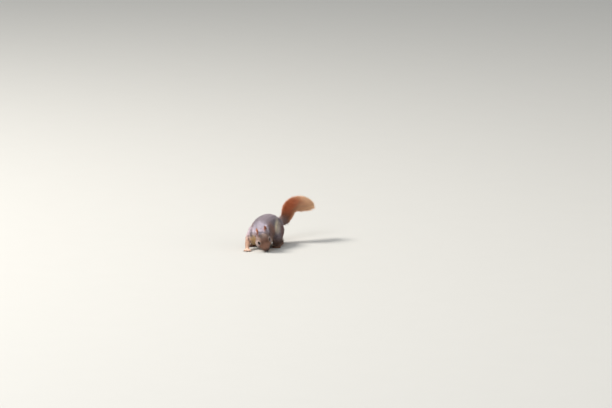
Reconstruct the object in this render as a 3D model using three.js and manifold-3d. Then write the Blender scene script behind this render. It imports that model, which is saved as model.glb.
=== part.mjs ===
// A life-size Caucasian squirrel, foraging with its nose to the ground, as a still museum model.
// Millimetres, +Z up. The trunk runs along Y with the chest towards -Y, and +X is the squirrel's left.
// Every solid gives the outline of the coat, out to the tips of the hair.
import * as THREE from "three";
import { mergeVertices } from "three/addons/utils/BufferGeometryUtils.js";
import Module from "manifold-3d";

const wasm = await Module();
wasm.setup();

// ---------------------------------------------------------------- driving dimensions

const GAP = 0.4; // clear space between neighbouring sub-parts

const SHOULDER_HEIGHT = 40;
const LOIN_HEIGHT = 48;
const TRUNK_HALF_WIDTH = 32;
const TRUNK_HALF_DEPTH = 32;
const NECK_ROOT_RADIUS = 25;
const NECK_END_RADIUS = 19;

const HEAD_CENTRE = [24.6, 2.9, 29.2];
const HEAD_NOSEWARD = [0.476, -0.237, -0.847]; // the way the nose points
const HEAD_CROWNWARD = [0.415, -0.789, 0.454]; // the way the forehead faces
const SKULL_HALF_WIDTH = 17;
const NOSE_REACH = 31; // head centre to nose tip
const EYE_RADIUS = 5;
const EYE_PLACE = [3.6, 11.6, 4.7]; // noseward, to the side, crownward of the head centre
const EAR_PLACE = [-12, 10.2, 8];
const EAR_HEIGHT = 22;
const EAR_HALF_WIDTH = 7;
const EAR_HALF_THICKNESS = 1.5;
const EAR_LEAN = [-0.8, 0.08, 0.58]; // both ears are pricked back and a little to the left
const EAR_OPENING = { left: [0.4, 1, 0.6], right: [0.25, -1, -0.2] }; // the way each cup faces

const TAIL_HALF_WIDTH = 20;
const TAIL_HALF_DEPTH = 20.5;

const DIGIT_RADIUS = 1.9;
const CLAW_LENGTH = 4.6;
const CLAW_RADIUS = 0.75;

// ---------------------------------------------------------------- small helpers

const UP = new THREE.Vector3(0, 0, 1);
const { clamp, lerp, smoothstep } = THREE.MathUtils;
const vec = (a) => new THREE.Vector3(...a);
const through = (points) => new THREE.CatmullRomCurve3(points.map(vec));

// The frame of the head: x noseward, y to the squirrel's left, z crownward.
const noseward = vec(HEAD_NOSEWARD).normalize();
const leftward = vec(HEAD_CROWNWARD).cross(noseward).normalize();
const headFrame = new THREE.Matrix4()
  .makeBasis(noseward, leftward, noseward.clone().cross(leftward))
  .setPosition(vec(HEAD_CENTRE));
const intoHead = headFrame.clone().invert();

function eachVertex(geometry, move) {
  const place = geometry.attributes.position;
  const p = new THREE.Vector3();
  for (let i = 0; i < place.count; i++) {
    move(p.fromBufferAttribute(place, i));
    place.setXYZ(i, p.x, p.y, p.z);
  }
  return geometry;
}

// ---------------------------------------------------------------- fields of flesh

// A field gives the distance from a point to a surface, negative inside.

function rod(from, to, startRadius, endRadius) {
  const start = vec(from);
  const run = vec(to).sub(start);
  const near = new THREE.Vector3();
  return (p) => {
    const t = clamp(near.copy(p).sub(start).dot(run) / run.lengthSq(), 0, 1);
    near.copy(start).addScaledVector(run, t);
    return near.distanceTo(p) - lerp(startRadius, endRadius, t);
  };
}

// An oval mass, with its half sizes along its own axes and its length along `heading`.
function mass(centre, [halfWidth, halfLength, halfDepth], heading = [0, 1, 0]) {
  const along = vec(heading).normalize();
  const side = along.clone().cross(UP).normalize();
  const above = side.clone().cross(along);
  const at = vec(centre);
  const q = new THREE.Vector3();
  return (p) => {
    q.copy(p).sub(at);
    const share = [q.dot(side) / halfWidth, q.dot(along) / halfLength, q.dot(above) / halfDepth];
    const slope = Math.hypot(share[0] / halfWidth, share[1] / halfLength, share[2] / halfDepth);
    const size = Math.hypot(...share);
    return size < 0.01 ? -Math.min(halfWidth, halfLength, halfDepth) : (size * (size - 1)) / slope;
  };
}

// One skin drawn over several masses, filling the creases between them over a width of `blend`.
function over(fields, blend) {
  const soften = (a, b) => Math.min(a, b) - Math.max(blend - Math.abs(a - b), 0) ** 2 / (4 * blend);
  return (p) => fields.map((field) => field(p)).reduce(soften);
}

const REACH = 70; // farther than any surface lies from the axis that it grows round
const HALVINGS = 22;

// A sphere's mesh stretched over an axis, with each vertex moved straight out onto the field.
function grown(field, from, to, { rings, sides, out = 0 }) {
  const start = vec(from);
  const end = vec(to);
  const turn = new THREE.Quaternion().setFromUnitVectors(
    new THREE.Vector3(0, 1, 0),
    end.clone().sub(start).normalize(),
  );
  const root = new THREE.Vector3();
  const probe = new THREE.Vector3();
  return eachVertex(new THREE.SphereGeometry(1, sides, rings), (p) => {
    root.lerpVectors(start, end, (1 + p.y) / 2);
    p.applyQuaternion(turn);
    let inner = 0;
    let outer = REACH;
    for (let i = 0; i < HALVINGS; i++) {
      const middle = (inner + outer) / 2;
      if (field(probe.copy(root).addScaledVector(p, middle)) < out) inner = middle;
      else outer = middle;
    }
    p.multiplyScalar(inner).add(root);
  });
}

// ---------------------------------------------------------------- joins and cuts

function solidOf(geometry) {
  const bare = geometry.clone();
  bare.deleteAttribute("normal");
  bare.deleteAttribute("uv");
  const merged = mergeVertices(bare, 1e-3);
  return new wasm.Manifold(
    new wasm.Mesh({
      numProp: 3,
      vertProperties: merged.attributes.position.array,
      triVerts: new Uint32Array(merged.index.array),
    }),
  );
}

function geometryOf(solid) {
  const mesh = solid.getMesh();
  return new THREE.BufferGeometry()
    .setAttribute("position", new THREE.BufferAttribute(new Float32Array(mesh.vertProperties), 3))
    .setIndex(new THREE.BufferAttribute(new Uint32Array(mesh.triVerts), 1));
}

const joined = (geometries) => geometries.map(solidOf).reduce((a, b) => a.add(b));
const cutBy = (solid, cutters) => cutters.reduce((rest, cutter) => rest.subtract(cutter), solid);

// The block that fills everything beyond a plane, to cut with.
function beyond(point, normal) {
  const SIZE = 300;
  const block = new THREE.BoxGeometry(SIZE, SIZE, SIZE).translate(0, 0, SIZE / 2);
  block.applyQuaternion(new THREE.Quaternion().setFromUnitVectors(UP, normal));
  return solidOf(block.translate(...point.toArray()));
}

const belowFloor = beyond(new THREE.Vector3(), UP.clone().negate());

// ---------------------------------------------------------------- bent, tapered tubes

// A lathe profile bent along a curve between two shares of its length. `roundness` sets how full
// an end is, and an end at a cut is flat.
function bentTube({ curve, halfWidth, halfDepth = halfWidth, rings, sides, roundness, from = 0, to = 1 }) {
  const fall = (t) => Math.sqrt(Math.max(0, 1 - Math.abs(2 * t - 1) ** roundness));
  const profile = [];
  if (from > 0) profile.push(new THREE.Vector2(0, from));
  for (let i = 0; i <= rings; i++) {
    const share = (1 - Math.cos((Math.PI * i) / rings)) / 2;
    const t = lerp(from, to, share);
    profile.push(new THREE.Vector2(fall(t), t));
  }
  if (to < 1) profile.push(new THREE.Vector2(0, to));
  return eachVertex(new THREE.LatheGeometry(profile, sides), (p) => {
    const t = clamp(p.y, 0, 1);
    const tangent = curve.getTangentAt(t);
    const side = tangent.clone().cross(UP).normalize();
    const above = side.clone().cross(tangent);
    const [across, upward] = [p.x * halfWidth(t), p.z * halfDepth(t)];
    p.copy(curve.getPointAt(t)).addScaledVector(side, across).addScaledVector(above, upward);
  });
}

// ---------------------------------------------------------------- materials

const finish = (color, roughness = 0.95) =>
  new THREE.MeshStandardMaterial({ color, roughness, metalness: 0 });
const GREY_COAT = finish(0x8d8381);
const BROWN_COAT = finish(0x86685a);
const OCHRE_COAT = finish(0xb98a63);
const RUST_COAT = finish(0x9c5433);
const EYE_SURFACE = finish(0x120d0b, 0.08);
const NOSE_SKIN = finish(0x3a2b2a, 0.5);
const HORN = finish(0x2e2622, 0.45);

const model = new THREE.Group();
const head = new THREE.Group();
head.applyMatrix4(headFrame);
model.add(head);

function addNode(name, geometry, material, parent = model) {
  const mesh = new THREE.Mesh(geometry, material);
  mesh.name = name;
  parent.add(mesh);
}

// ---------------------------------------------------------------- trunk and neck

// The hunched trunk, from chest to rump.
const trunkField = over(
  [
    mass([2, 46, SHOULDER_HEIGHT], [29, 28, 29], [0, 1, 0.2]), // chest
    mass([-7, 41, 27], [20, 22, 18]), // breast
    mass([2, 68, 47], [TRUNK_HALF_WIDTH - 1, 32, TRUNK_HALF_DEPTH]), // ribs
    mass([4, 80, 35], [27, 34, 25]), // belly
    mass([5, 94, LOIN_HEIGHT], [TRUNK_HALF_WIDTH, 32, TRUNK_HALF_DEPTH], [0.06, 1, -0.15]), // loins
    mass([9, 115, 43], [25, 21, 24], [0.1, 1, -0.1]), // rump
    rod([10, 118, 45], [17, 138, 51], 19, 12), // root of the tail
  ],
  14,
);
const trunkShell = (out) => grown(trunkField, [2, 44, 45], [7, 114, 45], { rings: 18, sides: 22, out });
const trunkCutter = solidOf(trunkShell(GAP));
addNode("trunk", trunkShell(0), GREY_COAT);

const NECK_ROOT = [4, 36, 45];
const NECK_END = [16, 11, 45];
const neckField = rod(NECK_ROOT, NECK_END, NECK_ROOT_RADIUS, NECK_END_RADIUS);
const neckShell = (out) => grown(neckField, NECK_ROOT, NECK_END, { rings: 8, sides: 16, out });

// ---------------------------------------------------------------- head, in its own frame

const headField = over(
  [
    mass([-7, 0, 1.5], [SKULL_HALF_WIDTH + 1, SKULL_HALF_WIDTH, 15]), // brain case
    mass([3, 10.6, -4.5], [13.5, 10.2, 10.5]), // left cheek
    mass([3, -10.6, -4.5], [13.5, 10.2, 10.5]), // right cheek
    rod([4, 0, 0], [22.5, 0, -3.6], 13, 6.8), // muzzle
    rod([0, 0, -9], [18, 0, -8.6], 10, 4.8), // lower jaw
    rod([19, 4, -5], [19, -4, -5], 5.6, 5.6), // whisker pads
    rod([-2.4, 9, 7.6], [5.6, 7.8, 8.2], 4.2, 3.2), // left brow
    rod([-2.4, -9, 7.6], [5.6, -7.8, 8.2], 4.2, 3.2), // right brow
  ],
  5,
);
const headShell = (out) => grown(headField, [-8, 0, 0], [15, 0, -4], { rings: 20, sides: 22, out });
const headCutter = solidOf(headShell(GAP).applyMatrix4(headFrame));

const eyeball = (radius, side) => {
  const [ahead, aside, height] = EYE_PLACE;
  return new THREE.SphereGeometry(radius, 12, 8).translate(ahead, side * aside, height);
};
const nosePad = (out) =>
  new THREE.SphereGeometry(1, 10, 7)
    .scale(2.9 + out, 3.3 + out, 2.5 + out)
    .translate(NOSE_REACH - 2.9, 0, -2.6);

// An ear is a leaf, cupped round its length.
function ear(name, side) {
  const leanBack = vec(EAR_LEAN).normalize();
  const openSide = vec(EAR_OPENING[name]);
  openSide.addScaledVector(leanBack, -openSide.dot(leanBack)).normalize();
  const edge = openSide.clone().cross(leanBack);
  const ROOT_DEPTH = 4;
  const leaf = eachVertex(new THREE.SphereGeometry(1, 16, 6), (p) => {
    const height = (p.z + 1) / 2;
    const across = p.x * EAR_HALF_WIDTH * (0.8 + 0.3 * Math.sin(2.4 * height)) * (1 - 0.3 * height ** 2);
    const cup = (0.34 * across ** 2) / EAR_HALF_WIDTH;
    p.set(across, cup + p.y * EAR_HALF_THICKNESS, height * (EAR_HEIGHT + ROOT_DEPTH) - ROOT_DEPTH);
  });
  leaf.applyMatrix4(new THREE.Matrix4().makeBasis(edge, openSide, leanBack));
  return leaf.translate(EAR_PLACE[0], side * EAR_PLACE[1], EAR_PLACE[2]);
}

const SIDES = { left: 1, right: -1 };
const sockets = Object.values(SIDES).map((side) => solidOf(eyeball(EYE_RADIUS + GAP, side)));
const trunkInHead = solidOf(trunkShell(GAP).applyMatrix4(intoHead));
const neckInHead = solidOf(neckShell(GAP).applyMatrix4(intoHead));
const skull = cutBy(solidOf(headShell(0)), [...sockets, solidOf(nosePad(GAP)), trunkInHead]);
addNode("head", geometryOf(skull), BROWN_COAT, head);
addNode("nose", nosePad(0), NOSE_SKIN, head);
for (const [name, side] of Object.entries(SIDES)) {
  addNode(`eye_${name}`, eyeball(EYE_RADIUS, side), EYE_SURFACE, head);
  const leaf = cutBy(solidOf(ear(name, side)), [solidOf(headShell(GAP)), trunkInHead, neckInHead]);
  addNode(`ear_${name}`, geometryOf(leaf), BROWN_COAT, head);
}

addNode("neck", geometryOf(cutBy(solidOf(neckShell(0)), [trunkCutter, headCutter])), GREY_COAT);
const neckCutter = solidOf(neckShell(GAP));

// ---------------------------------------------------------------- legs

// The joints of each limb, and where its middle toe points to on the floor.
const FORELIMB = {
  left: { shoulder: [18, 39, 42], elbow: [25.5, 48, 27], joint: [22.5, 35, 11], toes: [25, 12] },
  right: { shoulder: [-14, 32, 42], elbow: [-25.5, 35, 28], joint: [-19.5, 6, 11], toes: [-9.5, -19] },
};
const HINDLIMB = {
  left: { hip: [27, 99, 40], knee: [35, 66, 16], joint: [34, 106, 11], toes: [39, 44] },
  right: { hip: [-17, 98, 40], knee: [-27, 64, 16], joint: [-25, 101, 11], toes: [-32, 42] },
};

const segment = (from, to, startRadius, endRadius) =>
  grown(rod(from, to, startRadius, endRadius), from, to, { rings: 6, sides: 10 });

function muscle(centre, halfSizes, heading) {
  const ahead = vec(centre).add(vec(heading)).toArray();
  return grown(mass(centre, halfSizes, heading), centre, ahead, { rings: 8, sides: 13 });
}

const forelegParts = ({ shoulder, elbow, joint }) => [
  muscle(shoulder, [12, 15, 18], [0, 1, 0.3]),
  segment(shoulder, elbow, 13, 9),
  segment(elbow, joint, 9, FOREFOOT.jointRadius),
];

const hindlegParts = ({ hip, knee, joint }) => [
  muscle([hip[0], hip[1] - 8, 37], [19, 28, 26], [0, 1, 0.3]),
  segment(hip, knee, 18, 12),
  segment(knee, joint, 12, HINDFOOT.jointRadius),
];

// ---------------------------------------------------------------- feet and claws

const FOREFOOT = {
  jointRadius: 5.4,
  heelAhead: 4,
  heelRadius: 4.6,
  soleLength: 12,
  soleHalfWidth: 5.6,
  digitTurns: [-0.36, -0.12, 0.12, 0.36],
  digitLengths: [13, 15, 15, 13],
  digitSpacing: 2.5,
};
const HINDFOOT = {
  partedAt: 8.6, // height of the level cut between the foot and the leg that lies on it
  jointRadius: 5.6,
  heelAhead: -1.5,
  heelRadius: 5,
  soleLength: 40,
  soleHalfWidth: 6.6,
  digitTurns: [-0.3, -0.14, 0, 0.14, 0.34],
  digitLengths: [15, 18, 19, 18, 14],
  digitSpacing: 2.4,
};
const SOLE_HEIGHT = 4; // from the floor to the middle of the foot's thickness
const TOE_HEIGHT = 1.7;
const DIGIT_OVERLAP = 6; // how far a digit starts inside the sole

// A foot is a heel or wrist below its joint, a flattened sole, and digits fanned out in front. The
// soles are cut flat on the floor.
function foot(joint, heading, plan) {
  const across = UP.clone().cross(heading);
  const onFloor = (ahead, aside, height) =>
    joint.clone().setZ(height).addScaledVector(heading, ahead).addScaledVector(across, aside);

  const heel = onFloor(plan.heelAhead, 0, plan.heelRadius - 0.6);
  const ball = onFloor(plan.soleLength, 0, SOLE_HEIGHT - 0.5);
  const pieces = [
    segment(joint.toArray(), heel.toArray(), plan.jointRadius, plan.heelRadius),
    bentTube({
      curve: new THREE.LineCurve3(heel.clone().setZ(SOLE_HEIGHT), ball),
      halfWidth: (t) => lerp(plan.heelRadius, plan.soleHalfWidth, t),
      halfDepth: () => SOLE_HEIGHT,
      rings: 6,
      sides: 10,
      roundness: 6,
    }),
  ];

  const middle = (plan.digitTurns.length - 1) / 2;
  const claws = plan.digitTurns.map((turn, i) => {
    const way = heading.clone().applyAxisAngle(UP, turn);
    const length = plan.digitLengths[i];
    const aside = plan.digitSpacing * (i - middle);
    const root = onFloor(plan.soleLength - DIGIT_OVERLAP, aside, SOLE_HEIGHT - 0.5);
    const digitAt = (ahead, height) => root.clone().addScaledVector(way, ahead).setZ(height);
    const digit = new THREE.CatmullRomCurve3([
      root,
      digitAt(length * 0.6, 3.4),
      digitAt(length * 0.85, 2.6),
      digitAt(length, TOE_HEIGHT),
    ]);
    const halfWidth = () => DIGIT_RADIUS;
    pieces.push(bentTube({ curve: digit, halfWidth, rings: 4, sides: 6, roundness: 8 }));
    return new THREE.CatmullRomCurve3([
      digitAt(length + GAP, 2.2),
      digitAt(length + GAP + CLAW_LENGTH * 0.5, 2.6),
      digitAt(length + GAP + CLAW_LENGTH, 0.9),
    ]);
  });

  return { solid: joined(pieces).subtract(belowFloor), claws };
}

const clawThickness = (t) => CLAW_RADIUS * (1 - 0.5 * t);

// The leg is parted from its foot by the plane that halves the angle at the wrist, or by a level one
// over the hind foot.
function addLimb(prefix, side, limb, upper, parts, plan) {
  const joint = vec(limb.joint);
  const down = joint.clone().sub(vec(upper)).normalize();
  const heading = new THREE.Vector3(limb.toes[0] - joint.x, limb.toes[1] - joint.y, 0).normalize();
  const parting = plan.partedAt ? UP.clone().negate() : heading.clone().add(down).normalize();
  const cut = joint.clone().setZ(plan.partedAt ?? joint.z);
  const footSide = beyond(cut.clone().addScaledVector(parting, -GAP / 2), parting);
  const legSide = beyond(cut.clone().addScaledVector(parting, GAP / 2), parting.clone().negate());

  const leg = cutBy(joined(parts), [trunkCutter, neckCutter, headCutter, footSide]);
  addNode(`${prefix}leg_${side}`, geometryOf(leg), OCHRE_COAT);

  const { solid, claws } = foot(joint, heading, plan);
  addNode(`${prefix}foot_${side}`, geometryOf(solid.subtract(legSide)), OCHRE_COAT);
  claws.forEach((curve, i) => {
    const claw = bentTube({ curve, halfWidth: clawThickness, rings: 3, sides: 5, roundness: 6 });
    addNode(`claw_${prefix}_${side}_${i + 1}`, claw, HORN);
  });
}

for (const side of Object.keys(SIDES)) {
  const fore = FORELIMB[side];
  addLimb("fore", side, fore, fore.elbow, forelegParts(fore), FOREFOOT);
  const hind = HINDLIMB[side];
  addLimb("hind", side, hind, hind.knee, hindlegParts(hind), HINDFOOT);
}

// ---------------------------------------------------------------- tail

// The brush rises behind the rump, swings to the squirrel's left and arches over at the tip.
const tailLine = through([
  [6, 124, 48],
  [16, 138, 51],
  [26, 149, 55],
  [31, 156.5, 68],
  [34, 162, 83],
  [40.5, 169.5, 92],
  [48.5, 180, 93.7],
  [57.5, 191.5, 92],
  [69, 208.5, 86.5],
  [79.5, 224, 77],
]);
const brushFullness = (t) => lerp(0.6, 1, smoothstep(t, 0.12, 0.6)) * (1 - 0.5 * t ** 5);
const halfCut = GAP / 2 / tailLine.getLength();
const LENGTHS = { base: [0, 0.38], middle: [0.38, 0.68], tip: [0.68, 1] };

for (const [name, [from, to]] of Object.entries(LENGTHS)) {
  const length = bentTube({
    curve: tailLine,
    halfWidth: (t) => TAIL_HALF_WIDTH * brushFullness(t),
    halfDepth: (t) => TAIL_HALF_DEPTH * brushFullness(t),
    rings: 7,
    sides: 16,
    roundness: 9,
    from: from > 0 ? from + halfCut : 0,
    to: to < 1 ? to - halfCut : 1,
  });
  addNode(`tail_${name}`, geometryOf(cutBy(solidOf(length), [trunkCutter])), RUST_COAT);
}

// ---------------------------------------------------------------- stand it on its own origin

const middle = new THREE.Box3().setFromObject(model, true).getCenter(new THREE.Vector3());
model.position.set(-middle.x, -middle.y, 0);

export default model;
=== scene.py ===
"""A life-size Caucasian squirrel, foraging with its nose to the ground: skin, eyes, nose, claws,
whiskers and coat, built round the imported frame. Metres, +Z up, head towards -Y."""

import heapq
import math

import bmesh
import bpy
import numpy as np
from bpy.props import FloatProperty, FloatVectorProperty, IntProperty, PointerProperty
from mathutils import Matrix, Vector
from mathutils.bvhtree import BVHTree


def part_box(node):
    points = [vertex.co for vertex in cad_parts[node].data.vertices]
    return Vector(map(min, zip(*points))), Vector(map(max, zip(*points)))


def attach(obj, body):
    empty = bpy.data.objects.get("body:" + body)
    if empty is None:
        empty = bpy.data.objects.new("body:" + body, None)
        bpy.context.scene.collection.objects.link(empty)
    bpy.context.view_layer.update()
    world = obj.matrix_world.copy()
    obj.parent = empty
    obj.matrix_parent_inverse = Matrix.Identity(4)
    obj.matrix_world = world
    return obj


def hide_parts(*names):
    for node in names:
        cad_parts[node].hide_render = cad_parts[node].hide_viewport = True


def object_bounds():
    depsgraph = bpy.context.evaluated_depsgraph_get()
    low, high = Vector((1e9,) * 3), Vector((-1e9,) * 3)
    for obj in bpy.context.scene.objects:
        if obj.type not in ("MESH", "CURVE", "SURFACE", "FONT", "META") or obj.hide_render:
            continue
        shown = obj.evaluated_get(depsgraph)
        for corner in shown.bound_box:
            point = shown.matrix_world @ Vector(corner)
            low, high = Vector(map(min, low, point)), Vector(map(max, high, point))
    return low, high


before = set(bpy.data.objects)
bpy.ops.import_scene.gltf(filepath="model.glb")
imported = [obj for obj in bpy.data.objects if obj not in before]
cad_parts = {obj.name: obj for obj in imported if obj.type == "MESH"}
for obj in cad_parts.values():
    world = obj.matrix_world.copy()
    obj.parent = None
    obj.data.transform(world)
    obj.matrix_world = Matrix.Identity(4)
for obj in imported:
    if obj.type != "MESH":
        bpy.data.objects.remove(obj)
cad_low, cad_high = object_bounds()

bl_info = {
    "name": "Foraging squirrel",
    "version": (1, 0, 0),
    "blender": (4, 5, 0),
    "location": "3D Viewport > Sidebar > Squirrel",
    "description": "Builds a life-size Caucasian squirrel round its packed frame",
    "category": "Add Mesh",
}

MM = 0.001
SKIN_GAP, TUFT_GAP, WHISKER_GAP = 0.0002, 0.0001, 0.0003  # what stays free above the floor
SIDES = {"left": 1, "right": -1}
REGIONS = {
    "trunk": ["trunk"],
    "neck": ["neck"],
    "head": ["head"],
    **{part: [f"{part}_{side}" for side in SIDES]
       for part in ("ear", "foreleg", "forefoot", "hindleg", "hindfoot")},
    "tail": ["tail_base", "tail_middle", "tail_tip"],
}
FLESH = [node for nodes in REGIONS.values() for node in nodes]

# The coat on each region: how long a tuft is and how deep the skin lies under the tips, in
# millimetres, its lift in degrees, its width, and how many grow on a square millimetre.
COAT = {
    "trunk": (8.6, 3.6, 20, 0.46, 1.8),
    "neck": (8.0, 3.4, 20, 0.46, 1.8),
    "head": (3.4, 1.1, 16, 0.28, 4.2),
    "ear": (1.9, 0.25, 14, 0.2, 5.0),
    "foreleg": (5.5, 1.9, 18, 0.4, 2.0),
    "forefoot": (2.2, 0.45, 14, 0.26, 4.0),
    "hindleg": (7.4, 3.1, 20, 0.44, 1.8),
    "hindfoot": (2.6, 0.5, 14, 0.28, 3.6),
    "tail": (25.0, 9.0, 32, 0.34, 3.2),
}
LENGTH, DEPTH, LIFT, WIDTH, DENSITY = range(5)


# --- small helpers


def linear(red, green, blue):
    """A colour given in everyday 0-255 steps, as the linear light that a shader wants."""
    shares = (c / 255 for c in (red, green, blue))
    return tuple(c / 12.92 if c < 0.04045 else ((c + 0.055) / 1.055) ** 2.4 for c in shares)


def rising(value, low, high):
    """Rises smoothly from 0 at `low` to 1 at `high`."""
    share = np.clip((value - low) / (high - low), 0, 1)
    return share * share * (3 - 2 * share)


def falling(value, low, high):
    """Falls smoothly from 1 at `low` to 0 at `high`."""
    return 1 - rising(value, low, high)


def bell(value, width):
    """1 at nought, fading away over a width on either side."""
    return np.exp(-((value / width) ** 2))


def unit(vectors):
    return vectors / np.maximum(np.linalg.norm(vectors, axis=-1, keepdims=True), 1e-9)


def flattened(vectors, normals):
    """Each vector laid in the plane that its normal stands on."""
    return vectors - normals * (vectors * normals).sum(1, keepdims=True)


def blended(colours, other, mask):
    """Colours drawn towards another one by a mask from 0 to 1."""
    return colours + (np.asarray(other) - colours) * np.asarray(mask)[:, None]


def box_centre(node):
    low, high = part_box(node)
    return (low + high) / 2


# The head's own axes, found from its eyes and nose: x noseward, y to its left, z crownward.
EYE_IN_HEAD = (3.6, 11.6, 4.7)
NOSE_IN_HEAD = (28.1, 0.0, -2.6)


def head_axes():
    left, right, nose = (box_centre(n) for n in ("eye_left", "eye_right", "nose"))
    between = (left + right) / 2
    leftward = (left - right).normalized()
    sight = (nose - between).normalized()
    above = sight.cross(leftward)
    drop = math.atan2(EYE_IN_HEAD[2] - NOSE_IN_HEAD[2], NOSE_IN_HEAD[0] - EYE_IN_HEAD[0])
    noseward = sight * math.cos(drop) + above * math.sin(drop)
    crownward = noseward.cross(leftward)
    centre = between - (noseward * EYE_IN_HEAD[0] + crownward * EYE_IN_HEAD[2]) * MM
    basis = Matrix((noseward, leftward, crownward)).transposed().to_4x4()
    return Matrix.Translation(centre) @ basis


HEAD = head_axes()
INTO_HEAD = np.array(HEAD.inverted())


def in_head(points):
    """Points in the head's axes, in millimetres."""
    return (points @ INTO_HEAD[:3, :3].T + INTO_HEAD[:3, 3]) / MM


def out_of_head(places):
    turn = np.array(HEAD)
    return places * MM @ turn[:3, :3].T + turn[:3, 3]


def sided(place, side):
    """A place or a way on the left of the head, or its mirror image on the right."""
    return np.array([place[0], place[1] * side, place[2]])


def eye_radius(name="left"):
    """Found from the diagonal of the box round an eye, in metres."""
    low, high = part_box(f"eye_{name}")
    return (high - low).length / math.sqrt(12)


def merged_copy(node):
    """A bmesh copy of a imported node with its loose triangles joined."""
    bm = bmesh.new()
    bm.from_mesh(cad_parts[node].data)
    bmesh.ops.remove_doubles(bm, verts=bm.verts, dist=1e-6)
    bm.normal_update()
    return bm


def linked(name, data):
    made = bpy.data.objects.new(name, data)
    bpy.context.scene.collection.objects.link(made)
    return made


def add_piece(name, mesh, material, nodes=()):
    """Adds a finished piece with its finish, and hides the nodes that it stands for."""
    piece = linked(name, mesh)
    mesh.materials.append(material)
    mesh.polygons.foreach_set("use_smooth", np.ones(len(mesh.polygons), bool))
    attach(piece, "root")
    if nodes:
        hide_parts(*nodes)
    return piece


def mesh_of(bm, name):
    mesh = bpy.data.meshes.new(name)
    bm.to_mesh(mesh)
    bm.free()
    return mesh


def triangle_mesh(name, points, triangles):
    mesh = bpy.data.meshes.new(name)
    mesh.vertices.add(len(points))
    mesh.loops.add(triangles.size)
    mesh.loops.foreach_set("vertex_index", triangles.astype(np.int32).ravel())
    mesh.polygons.add(len(triangles))
    mesh.polygons.foreach_set("loop_start", np.arange(0, triangles.size, 3, dtype=np.int32))
    move_vertices(mesh, points)
    return mesh


def move_vertices(mesh, points):
    mesh.vertices.foreach_set("co", points.astype(np.float32).ravel())
    mesh.update(calc_edges=not mesh.edges)


def vertex_array(mesh, source="vertices", key="co", width=3, kind=np.float32):
    """One value, or one row of values, for each item of a mesh."""
    items = getattr(mesh, source)
    values = np.empty(len(items) * width, kind)
    items.foreach_get(key, values)
    return values.reshape(-1, width) if width > 1 else values


ATTRIBUTES = {1: ("FLOAT", "value"), 3: ("FLOAT_VECTOR", "vector"), 4: ("FLOAT_COLOR", "color")}


def set_attribute(mesh, name, values):
    """Stores a number, a vector or a colour for each vertex."""
    kind, key = ATTRIBUTES[values.shape[1] if values.ndim > 1 else 1]
    layer = mesh.attributes.new(name, kind, "POINT")
    layer.data.foreach_set(key, np.ascontiguousarray(values, np.float32).ravel())


def get_attribute(mesh, name, width=3):
    return vertex_array(mesh.attributes[name], "data", ATTRIBUTES[width][1], width)


# --- fields over the skin


FAIRING_STEPS = (0.5, -0.53)  # a step in, and a slightly longer one out
BLEND = 3.5 * MM  # regions run into each other over this distance


class Net:
    """Vertices joined by edges, on which values can be evened out."""

    def __init__(self, mesh):
        edges = vertex_array(mesh, "edges", "vertices", 2, np.int32)
        self.size = len(mesh.vertices)
        self.a, self.b = edges.T
        self.degree = np.maximum(np.bincount(edges.ravel(), minlength=self.size), 1)[:, None]

    def gathered(self, to_a, to_b):
        """Adds up at each vertex what its edges bring to their two ends."""
        columns = [np.bincount(self.a, one, self.size) + np.bincount(self.b, two, self.size)
                   for one, two in zip(to_a.T, to_b.T)]
        return np.stack(columns, 1)

    def around(self, values):
        """The mean of each vertex's neighbours."""
        return self.gathered(values[self.b], values[self.a]) / self.degree

    def evened(self, values, rounds, share=0.5):
        """Draws each vertex's value towards its neighbours' mean."""
        for _ in range(rounds):
            values = values + (self.around(values) - values) * share
        return values

    def faired(self, points, rounds, share):
        """Evens a surface without shrinking it: each step in is followed by a step out."""
        for _ in range(rounds):
            for step in FAIRING_STEPS:
                points = points + (self.around(points) - points) * (step * share)
        return points

    def distance(self, points, start):
        """How far each vertex lies from one of them, going over the surface."""
        lengths = np.linalg.norm(points[self.a] - points[self.b], axis=1)
        joined = [[] for _ in range(self.size)]
        for a, b, length in zip(self.a.tolist(), self.b.tolist(), lengths.tolist()):
            joined[a].append((b, length))
            joined[b].append((a, length))
        far = [math.inf] * self.size
        queue = [(0.0, start)]
        while queue:
            so_far, here = heapq.heappop(queue)
            if so_far < far[here]:
                far[here] = so_far
                for there, length in joined[here]:
                    if so_far + length < far[there]:
                        heapq.heappush(queue, (so_far + length, there))
        return np.array(far)

    def slope(self, points, heights):
        """The way uphill at each vertex."""
        run = points[self.b] - points[self.a]
        pull = run * ((heights[self.b] - heights[self.a]) / (run**2).sum(1))[:, None]
        return unit(self.gathered(pull, pull))


def region_shares(points):
    """How much each vertex belongs to each region; its shares add up to one."""
    shares = []
    for nodes in REGIONS.values():
        bm = bmesh.new()
        for node in nodes:
            bm.from_mesh(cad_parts[node].data)
        tree = BVHTree.FromBMesh(bm)
        bm.free()
        near = np.array([tree.find_nearest(p)[3] for p in points.tolist()])
        shares.append(bell(near, BLEND) + 1e-12)
    shares = np.stack(shares, 1)
    return shares / shares.sum(1, keepdims=True)


def by_region(shares, measure):
    return shares @ np.array([COAT[region][measure] for region in REGIONS], float)


# --- markings

# Oval patches: their middle along and up, and how far they reach each way, in millimetres.
SHOULDER_PATCH = (-58, 42, 17, 24)
FLANK_PATCH = (-33.5, 51, 12.5, 18)
EAR_STREAK = (13.5, 7, 4, 4.5)
FLANK_LEAN = (45, 0.031)  # from this height up, the flank patch leans back more and more
# The brush gets painted backlight: paler on the sides turned from the camera and underneath, where
# it is also paler fur.
BRUSH_TO_CAMERA = np.array([0.34, -0.92, 0.17])  # the way the deep rust middle of the brush faces
BRUSH_UNDER = np.array([0.6, 0.0, -0.8])  # the way its pale underside faces


def layered(count, ground, layers):
    """A ground colour with layers of colour laid over it, each through its mask."""
    tone = np.tile(np.array(ground, float), (count, 1))
    for colour, mask in layers:
        tone = blended(tone, colour, mask)
    return tone


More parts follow.
